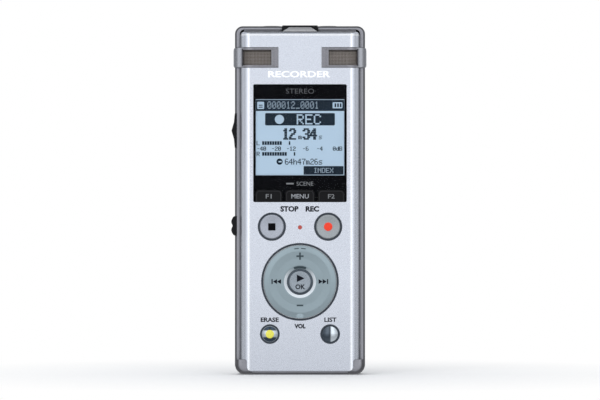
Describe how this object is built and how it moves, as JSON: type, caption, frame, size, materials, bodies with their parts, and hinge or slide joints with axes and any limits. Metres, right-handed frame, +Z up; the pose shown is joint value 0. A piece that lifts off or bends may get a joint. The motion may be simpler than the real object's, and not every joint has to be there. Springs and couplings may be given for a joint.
{
  "type": "handheld voice recorder",
  "caption": "Slim upright handheld voice recorder: metal front with a display and round keys, corner microphones, side covers, a hinged battery cover and a fold-out stand.",
  "frame": {"origin": "middle of the flat bottom end, halfway through the body's depth", "axes": "+Z up the recorder's length to the microphones; -Y is the direction the display faces, +Y is the back with the battery cover; +X is to the right of somebody looking at the display"},
  "size_m": [0.0412, 0.0149, 0.1062],
  "materials": {
    "silver_shell": "satin",
    "silver_keys": "metallic lacquer",
    "ring_silver": "spun satin",
    "grey_frame": "satin",
    "rear_shell": "satin",
    "black_plastic": "fine grain",
    "black_gloss": "gloss",
    "clear_window": "clear",
    "mask_print": "gloss",
    "lcd_glass": "backlit",
    "white_plastic": "satin",
    "amber_film": "satin",
    "mask_green": "solder mask",
    "chrome_key": "polished",
    "red_lens": "clear red",
    "rubber_grey": "matte",
    "steel": "brushed",
    "bright_steel": "polished",
    "mic_mesh": "woven",
    "gold_contact": "plated",
    "battery_jacket": "printed sleeve",
    "cloth": "woven"
  },
  "bodies": {
    "recorder": {"front_cover": "silver_shell", "mid_frame": "grey_frame", "rear_cover": "rear_shell", "display_window": "clear_window", "window_mask": "mask_print", "lcd_holder": "white_plastic", "lcd_panel": "lcd_glass", "lcd_backlight": "white_plastic", "lcd_flex": "amber_film", "stop_rec_bezels": "black_plastic", "nav_bezel": "black_plastic", "erase_list_bezels": "black_plastic", "record_lamp_lens": "red_lens", "record_lamp_led": "white_plastic", "key_mat": "rubber_grey", "dome_switches": "steel", "key_board": "mask_green", "main_board": "mask_green", "board_link_cable": "amber_film", "board_chips": "black_plastic", "shield_can": "steel", "mic_guard_right": "bright_steel", "mic_guard_left": "bright_steel", "mic_grille_right": "mic_mesh", "mic_grille_left": "mic_mesh", "mic_capsules": "steel", "mic_boots": "rubber_grey", "centre_mic_housing": "black_plastic", "centre_mic_cap": "silver_shell", "mic_jack": "black_plastic", "earphone_jack": "black_plastic", "usb_socket": "steel", "card_socket": "steel", "memory_card": "black_gloss", "slide_switch": "black_plastic", "speaker": "black_plastic", "speaker_cloth": "cloth", "battery": "battery_jacket", "battery_tray": "black_plastic", "battery_spring": "steel", "battery_plate": "gold_contact", "hinge_pins": "steel", "case_screws": "bright_steel", "strap_bar": "steel"},
    "f1_key": {"f1_key": "black_gloss"},
    "menu_key": {"menu_key": "black_gloss"},
    "f2_key": {"f2_key": "black_gloss"},
    "stop_button": {"stop_button": "silver_keys"},
    "rec_button": {"rec_button": "silver_keys"},
    "nav_rocker": {"nav_rocker": "steel"},
    "nav_ring": {"nav_ring": "ring_silver"},
    "ok_button": {"ok_button": "silver_keys", "ok_collar": "black_gloss"},
    "erase_button": {"erase_button": "chrome_key"},
    "list_button": {"list_button": "chrome_key"},
    "power_knob": {"power_knob": "black_plastic"},
    "usb_door": {"usb_door": "black_plastic"},
    "card_door": {"card_door": "black_plastic"},
    "battery_lid": {"battery_lid": "rear_shell"},
    "stand": {"stand": "rear_shell"}
  },
  "joints": [
    {"name": "f1_press", "type": "slide", "parent": "recorder", "child": "f1_key", "axis": [0, 1, 0], "range_m": [0, 0.0003]},
    {"name": "menu_press", "type": "slide", "parent": "recorder", "child": "menu_key", "axis": [0, 1, 0], "range_m": [0, 0.0003]},
    {"name": "f2_press", "type": "slide", "parent": "recorder", "child": "f2_key", "axis": [0, 1, 0], "range_m": [0, 0.0003]},
    {"name": "stop_press", "type": "slide", "parent": "recorder", "child": "stop_button", "axis": [0, 1, 0], "range_m": [0, 0.0003]},
    {"name": "rec_press", "type": "slide", "parent": "recorder", "child": "rec_button", "axis": [0, 1, 0], "range_m": [0, 0.0003]},
    {"name": "ok_press", "type": "slide", "parent": "recorder", "child": "ok_button", "axis": [0, 1, 0], "range_m": [0, 0.0003]},
    {"name": "erase_press", "type": "slide", "parent": "recorder", "child": "erase_button", "axis": [0, 1, 0], "range_m": [0, 0.0003]},
    {"name": "list_press", "type": "slide", "parent": "recorder", "child": "list_button", "axis": [0, 1, 0], "range_m": [0, 0.0003]},
    {"name": "nav_up_down", "type": "hinge", "parent": "recorder", "child": "nav_rocker", "pos_m": [0, -0.00617, 0.02825], "axis": [1, 0, 0], "range_deg": [-1.2, 1.2]},
    {"name": "nav_left_right", "type": "hinge", "parent": "nav_rocker", "child": "nav_ring", "pos_m": [0, -0.0063, 0.02825], "axis": [0, 0, 1], "range_deg": [-1.2, 1.2]},
    {"name": "power_slide", "type": "slide", "parent": "recorder", "child": "power_knob", "axis": [0, 0, 1], "range_m": [-0.0015, 0.0015]},
    {"name": "usb_door_hinge", "type": "hinge", "parent": "recorder", "child": "usb_door", "pos_m": [-0.0193, 0.0011, 0.0742], "axis": [0, 0, -1], "range_deg": [0, 90]},
    {"name": "card_door_hinge", "type": "hinge", "parent": "recorder", "child": "card_door", "pos_m": [0.0193, 0.0009, 0.0726], "axis": [0, 0, 1], "range_deg": [0, 90]},
    {"name": "battery_lid_hinge", "type": "hinge", "parent": "recorder", "child": "battery_lid", "pos_m": [0, 0.00665, 0.00325], "axis": [-1, 0, 0], "range_deg": [0, 90]},
    {"name": "stand_hinge", "type": "hinge", "parent": "recorder", "child": "stand", "pos_m": [0, 0.0066, 0.07905], "axis": [1, 0, 0], "range_deg": [0, 80]}
  ]
}
